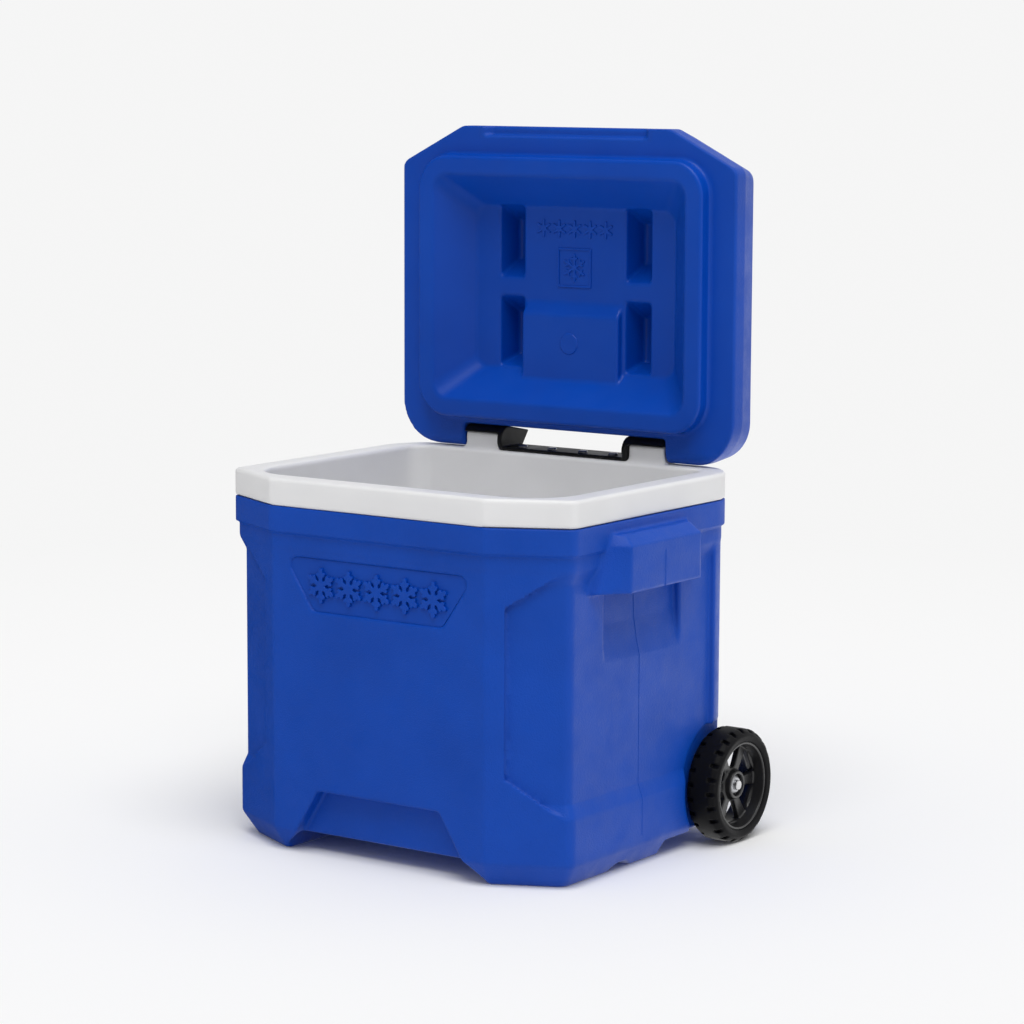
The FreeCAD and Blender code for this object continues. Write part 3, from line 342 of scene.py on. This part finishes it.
PLASTICS = {
    # slot: dark and light colour, roughness, its spread, grains per metre, their depth, specular
    "shell_blue": ((0.0, 0.056, 0.405), (0.0005, 0.064, 0.455), 0.46, 0.08, 820.0, 0.34 * MM, 0.25),
    "label_blue": ((0.0, 0.054, 0.40), (0.0005, 0.062, 0.44), 0.42, 0.05, 900.0, 0.08 * MM, 0.25),
    "lid_liner_blue": ((0.0, 0.056, 0.42), (0.0005, 0.064, 0.46), 0.36, 0.05, 420.0, 0.04 * MM, 0.25),
    "liner_white": ((0.78, 0.78, 0.788), (0.83, 0.83, 0.837), 0.38, 0.05, 420.0, 0.03 * MM, 0.4),
    "foam": ((0.70, 0.66, 0.52), (0.80, 0.76, 0.62), 0.8, 0.08, 600.0, 0.3 * MM, 0.5),
    "black_plastic": ((0.006, 0.006, 0.007), (0.010, 0.010, 0.011), 0.42, 0.07, 900.0, 0.05 * MM, 0.22),
    "hub_black": ((0.009, 0.009, 0.010), (0.015, 0.015, 0.017), 0.34, 0.07, 900.0, 0.04 * MM, 0.45),
    "tyre_black": ((0.002, 0.002, 0.003), (0.005, 0.005, 0.006), 0.52, 0.08, 1100.0, 0.06 * MM, 0.10),
    "grip_black": ((0.006, 0.006, 0.007), (0.010, 0.010, 0.011), 0.55, 0.06, 1400.0, 0.12 * MM, 0.35),
    "button_grey": ((0.10, 0.10, 0.105), (0.14, 0.14, 0.145), 0.45, 0.05, 900.0, 0.05 * MM, 0.5),
}
METALS = {
    # slot: colour, roughness, streaks per metre along x, y and z
    "tube_black": ((0.012, 0.012, 0.013), 0.38, (900, 900, 14)),
    "tube_grey": ((0.45, 0.46, 0.47), 0.30, (900, 900, 14)),
    "steel": ((0.42, 0.42, 0.43), 0.30, (14, 700, 700)),
    "zinc_plated": ((0.34, 0.345, 0.36), 0.38, (300, 300, 300)),
}
FINISHES = {slot: plastic(slot, *values) for slot, values in PLASTICS.items()}
FINISHES.update({slot: metal(slot, *values) for slot, values in METALS.items()})


# ---------------------------------------------------------------- pieces

MOULDINGS = [
    # name, CAD nodes, voxel and reach in mm, rounds, faces, body, slot, joints with
    ("shell", ["outer_shell"], 1.3, 2.4, 4, 197000, "cooler_body", "shell_blue",
     ["inner_liner", "base_fill_plug", "front_label_plate"]),
    ("liner", ["inner_liner"], 1.5, 3.5, 8, 150000, "cooler_body", "liner_white", ["outer_shell"]),
    ("lid_moulding", ["lid_shell", "lid_liner"], 1.2, 2.8, 6, 197000, "lid", "shell_blue",
     ["lid_fill_plug"]),
    ("hinge_frame", ["hinge_saddle"], 0.7, 1.6, 6, 60000, "cooler_body", "black_plastic", []),
    ("tube_bracket_upper", ["upper_bracket"], 0.8, 2.0, 6, 40000, "cooler_body", "black_plastic", []),
    ("tube_bracket_lower", ["lower_bracket"], 0.8, 2.0, 6, 50000, "cooler_body", "black_plastic", []),
    ("pull_grip_lower", ["handle_grip_lower"], 0.7, 2.0, 7, 40000, "handle_top_stage", "grip_black",
     ["handle_grip_upper"]),
    ("pull_grip_upper", ["handle_grip_upper"], 0.7, 2.0, 7, 30000, "handle_top_stage", "grip_black",
     ["handle_grip_lower"]),
    ("wheel_hub_right", ["right_wheel_hub"], 0.6, 1.2, 5, 70000, "right_wheel", "hub_black",
     ["right_tyre"]),
    ("wheel_hub_left", ["left_wheel_hub"], 0.6, 1.2, 5, 70000, "left_wheel", "hub_black",
     ["left_tyre"]),
    ("tyre_right", ["right_tyre"], 0.6, 1.2, 5, 90000, "right_wheel", "tyre_black",
     ["right_wheel_hub"]),
    ("tyre_left", ["left_tyre"], 0.6, 1.2, 5, 90000, "left_wheel", "tyre_black", ["left_wheel_hub"]),
    ("button", ["release_button"], 0.4, 1.2, 6, 20000, "handle_release", "button_grey", []),
]

for name, nodes, voxel, reach, rounds, faces, body, slot, against in MOULDINGS:
    piece = moulded(name, nodes, voxel * MM, reach * MM, rounds, faces, body, against)
    piece.data.materials.clear()
    if name == "lid_moulding":
        finished_by_node(piece, {"lid_shell": FINISHES["shell_blue"],
                                 "lid_liner": FINISHES["lid_liner_blue"]})
    else:
        piece.data.materials.append(FINISHES[slot])


# Raised signs: the share of an arm where its barbs start, their length and width as shares of the
# arm's, their lean; steps of a round end; rounds of softening; back and face of each sign.
BARB_ROOT, BARB_LENGTH, BARB_WIDTH = 0.55, 0.30, 0.8
BARB_LEAN = math.radians(52)
ARC_STEPS = 6
SIGN_ROUNDS = 6
CRYSTALS = 5
FRONT_BACK, FRONT_FACE = -154.2 * MM, -156.9 * MM
LID_BACK, LID_FACE = 104.0 * MM, 102.6 * MM

# Parting line: a six-sided ridge along the wall, thinner at its ends and broken at ledges.
RIDGE_Y, RIDGE_LOW, RIDGE_HIGH = -32.75 * MM, 24 * MM, 245 * MM
RIDGE_STEP = 1.0 * MM
RIDGE_DEPTH, RIDGE_WIDTH, RIDGE_END = 0.30 * MM, 0.42 * MM, 0.35
RIDGE_SIDES = 6
RIDGE_SHORTEST = 4
LEDGE_STEP = 4 * MM
OUTSIDE = 0.25


def stadium(bm, start, end, width, back, front):
    """Flat bar with round ends, standing on the plane y = back."""
    along = math.atan2(end[1] - start[1], end[0] - start[0])
    rings = []
    for y in (back, front):
        ring = []
        for centre, first in ((end, along - math.pi / 2), (start, along + math.pi / 2)):
            for step in range(ARC_STEPS + 1):
                angle = first + math.pi * step / ARC_STEPS
                ring.append(bm.verts.new((centre[0] + width / 2 * math.cos(angle), y,
                                          centre[1] + width / 2 * math.sin(angle))))
        rings.append(ring)
    count = len(rings[0])
    bm.faces.new(rings[0])
    bm.faces.new(rings[1][::-1])
    for k in range(count):
        after = (k + 1) % count
        bm.faces.new((rings[0][after], rings[0][k], rings[1][k], rings[1][after]))


def snow_crystal(bm, x, z, radius, width, back, front, barbs=True):
    """Six arms, with a pair of barbs on each of a large one."""
    for arm in range(6):
        turn = math.radians(30 + 60 * arm)
        tip = (x + radius * math.cos(turn), z + radius * math.sin(turn))
        stadium(bm, (x, z), tip, width, back, front)
        root = (x + BARB_ROOT * radius * math.cos(turn), z + BARB_ROOT * radius * math.sin(turn))
        for side in (-1, 1) if barbs else ():
            lean = turn + side * BARB_LEAN
            barb = (root[0] + BARB_LENGTH * radius * math.cos(lean),
                    root[1] + BARB_LENGTH * radius * math.sin(lean))
            stadium(bm, root, barb, BARB_WIDTH * width, back, front)


def frame_bars(bm, corners, width, back, front):
    for start, end in zip(corners, corners[1:] + corners[:1]):
        stadium(bm, start, end, width, back, front)


def relief(name, draw, voxel, faces, body, finish):
    """Raised sign with soft edges."""
    bm = bmesh.new()
    draw(bm)
    bmesh.ops.recalc_face_normals(bm, faces=bm.faces)
    mesh = bpy.data.meshes.new(name)
    bm.to_mesh(mesh)
    bm.free()
    item = add(name, mesh)
    voxelled(item, voxel)
    points = relaxed(points_of(item.data), edges_of(item.data), SIGN_ROUNDS)
    item.data.vertices.foreach_set("co", points.astype(np.float32).ravel())
    thinned(item, faces)
    item.data.materials.clear()
    item.data.materials.append(FINISHES[finish])
    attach(item, body)


def front_sign(bm):
    """Row of snow crystals in the label recess."""
    for number in range(CRYSTALS):
        snow_crystal(bm, (number - 2) * 26.5 * MM, 210.5 * MM, 12.0 * MM, 3.6 * MM, FRONT_BACK, FRONT_FACE)


def lid_sign(bm):
    """Row of stars above a framed snow crystal, inside the lid."""
    for number in range(CRYSTALS):
        snow_crystal(bm, (number - 2) * 15 * MM, 471 * MM, 6.2 * MM, 2.2 * MM, LID_BACK, LID_FACE,
                     barbs=False)
    snow_crystal(bm, 0, 440 * MM, 10.5 * MM, 2.0 * MM, LID_BACK, LID_FACE)
    left, right, low, high = -15.5 * MM, 15.5 * MM, 425 * MM, 455 * MM
    corners = ((left, low), (right, low), (right, high), (left, high))
    frame_bars(bm, corners, 1.8 * MM, LID_BACK, LID_FACE)


def parting_line(name, side):
    """Fine ridge where the halves of the mould met, from the grip down to the skirt."""
    outside = surface_of(["outer_shell"])
    runs, run = [], []
    for k in range(round((RIDGE_HIGH - RIDGE_LOW) / RIDGE_STEP) + 1):
        z = RIDGE_LOW + k * RIDGE_STEP
        hit = outside.ray_cast(Vector((side * OUTSIDE, RIDGE_Y, z)), Vector((-side, 0, 0)))[0]
        if run and abs(hit.x - run[-1].x) > LEDGE_STEP:
            runs.append(run)
            run = []
        run.append(hit)
    runs.append(run)
    bm = bmesh.new()
    for run in runs:
        if len(run) < RIDGE_SHORTEST:
            continue
        rings = []
        for k, place in enumerate(run):
            ahead = run[min(k + 1, len(run) - 1)] - run[max(k - 1, 0)]
            across = Vector((ahead.z, 0, -ahead.x)).normalized() * side
            end = RIDGE_END if k in (0, len(run) - 1) else 1.0
            ring = []
            for turn in range(RIDGE_SIDES):
                angle = 2 * math.pi * turn / RIDGE_SIDES
                ring.append(bm.verts.new(place + across * (RIDGE_DEPTH * end * math.cos(angle))
                                         + Vector((0, RIDGE_WIDTH * end * math.sin(angle), 0))))
            rings.append(ring)
        for one, two in zip(rings, rings[1:]):
            for turn in range(RIDGE_SIDES):
                after = (turn + 1) % RIDGE_SIDES
                bm.faces.new((one[turn], one[after], two[after], two[turn]))
        bm.faces.new(rings[0])
        bm.faces.new(rings[-1])
    bmesh.ops.recalc_face_normals(bm, faces=bm.faces)
    mesh = bpy.data.meshes.new(name)
    bm.to_mesh(mesh)
    bm.free()
    mesh.polygons.foreach_set("use_smooth", [True] * len(mesh.polygons))
    mesh.materials.append(FINISHES["shell_blue"])
    item = add(name, mesh)
    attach(item, "cooler_body")


relief("front_sign", front_sign, 0.32 * MM, 120000, "cooler_body", "label_blue")
relief("lid_sign", lid_sign, 0.3 * MM, 60000, "lid", "lid_liner_blue")
parting_line("parting_line_right", 1)
parting_line("parting_line_left", -1)

slots = {part["node"]: part.get("material_slot") for part in frame["record"]["subparts"]}
for node, item in frame["nodes"].items():
    if not item.data.materials:
        item.data.materials.append(None)
    for index in range(len(item.data.materials)):
        item.data.materials[index] = FINISHES[slots[node]]


# ---------------------------------------------------------------- stage, light and camera

def reflected(made, place, distance=None):
    """Glow that reflections meet: nearly none to the front left, strong to the back right and,
    on the floor, strongest near the cooler."""
    glow = made.node_tree.nodes.new("ShaderNodeEmission")
    turn = made.node_tree.nodes.new("ShaderNodeVectorMath")
    turn.operation = "DOT_PRODUCT"
    turn.inputs[1].default_value = BRIGHT_SIDE
    link(made, place, turn.inputs[0])
    strength = ranged(made, turn.outputs["Value"], 0.0, MIRRORED, GLOW_FROM, GLOW_FULL)
    if distance:
        share = made.node_tree.nodes.new("ShaderNodeMath")
        share.operation = "MULTIPLY"
        link(made, strength, share.inputs[0])
        link(made, ranged(made, distance, *FLOOR_GLOW), share.inputs[1])
        strength = share.outputs["Value"]
    link(made, strength, glow.inputs["Strength"])
    return glow.outputs["Emission"]


def chosen(made, fac, low, high):
    node = made.node_tree.nodes.new("ShaderNodeMixShader")
    link(made, fac, node.inputs["Fac"])
    link(made, low, node.inputs[1])
    link(made, high, node.inputs[2])
    return node.outputs["Shader"]


def floor():
    """Pale paper that fades into the backdrop."""
    bm = bmesh.new()
    bmesh.ops.create_grid(bm, x_segments=8, y_segments=8, size=FLOOR_HALF)
    mesh = bpy.data.meshes.new("floor")
    bm.to_mesh(mesh)
    bm.free()
    item = add("floor", mesh)
    made = material("floor_paper", (0.93, 0.93, 0.93), 0.9, 0.1)
    nodes = made.node_tree.nodes
    shader = nodes["Principled BSDF"]
    where = place_node(made)
    link(made, bumped(made, noise(made, where, 900.0, 2.0), 0.02 * MM), shader.inputs["Normal"])
    glow = nodes.new("ShaderNodeEmission")
    glow.inputs["Strength"].default_value = BACKDROP
    distance = nodes.new("ShaderNodeVectorMath")
    distance.operation = "LENGTH"
    link(made, where, distance.inputs[0])
    far = ranged(made, distance.outputs["Value"], 0, 1, FADE_NEAR, FADE_FAR)
    paper = chosen(made, far, shader.outputs["BSDF"], glow.outputs["Emission"])
    path = nodes.new("ShaderNodeLightPath")
    look = chosen(made, path.outputs["Is Glossy Ray"], paper,
                  reflected(made, where, distance.outputs["Value"]))
    link(made, look, nodes["Material Output"].inputs["Surface"])
    mesh.materials.append(made)


def sun(name, direction, strength, spread):
    lamp = bpy.data.lights.new(name, "SUN")
    lamp.energy = strength
    lamp.angle = spread
    item = bpy.data.objects.new(name, lamp)
    scene.collection.objects.link(item)
    item.rotation_euler = Vector(direction).to_track_quat("-Z", "Y").to_euler()


def surroundings():
    """A pale studio: even soft light, and reflections that brighten to the back right."""
    world = bpy.data.worlds.new("studio")
    scene.world = world
    world.use_nodes = True
    nodes = world.node_tree.nodes
    nodes.clear()
    seen, soft = nodes.new("ShaderNodeBackground"), nodes.new("ShaderNodeBackground")
    seen.inputs["Color"].default_value = (1, 1, 1, 1)
    seen.inputs["Strength"].default_value = BACKDROP
    soft.inputs["Color"].default_value = (1, 1, 1, 1)
    soft.inputs["Strength"].default_value = AMBIENT
    path = nodes.new("ShaderNodeLightPath")
    mirrored = reflected(world, nodes.new("ShaderNodeTexCoord").outputs["Generated"])
    lit = chosen(world, path.outputs["Is Glossy Ray"], soft.outputs["Background"], mirrored)
    look = chosen(world, path.outputs["Is Camera Ray"], lit, seen.outputs["Background"])
    link(world, look, nodes.new("ShaderNodeOutputWorld").inputs["Surface"])


def camera():
    """From the front right and a little above."""
    lens = bpy.data.cameras.new("camera")
    lens.sensor_width = SENSOR
    lens.lens = FOCAL_LENGTH
    lens.clip_end = VIEW_END
    item = bpy.data.objects.new("camera", lens)
    scene.collection.objects.link(item)
    item.location = EYE
    look = Vector(AIM) - item.location
    item.rotation_euler = look.to_track_quat("-Z", "Y").to_euler()
    item.rotation_euler.rotate_axis("Z", ROLL)
    scene.camera = item


floor()
surroundings()
sun("key", KEY_WAY, KEY_STRENGTH, KEY_SPREAD)
camera()
scene.view_settings.view_transform = "Standard"
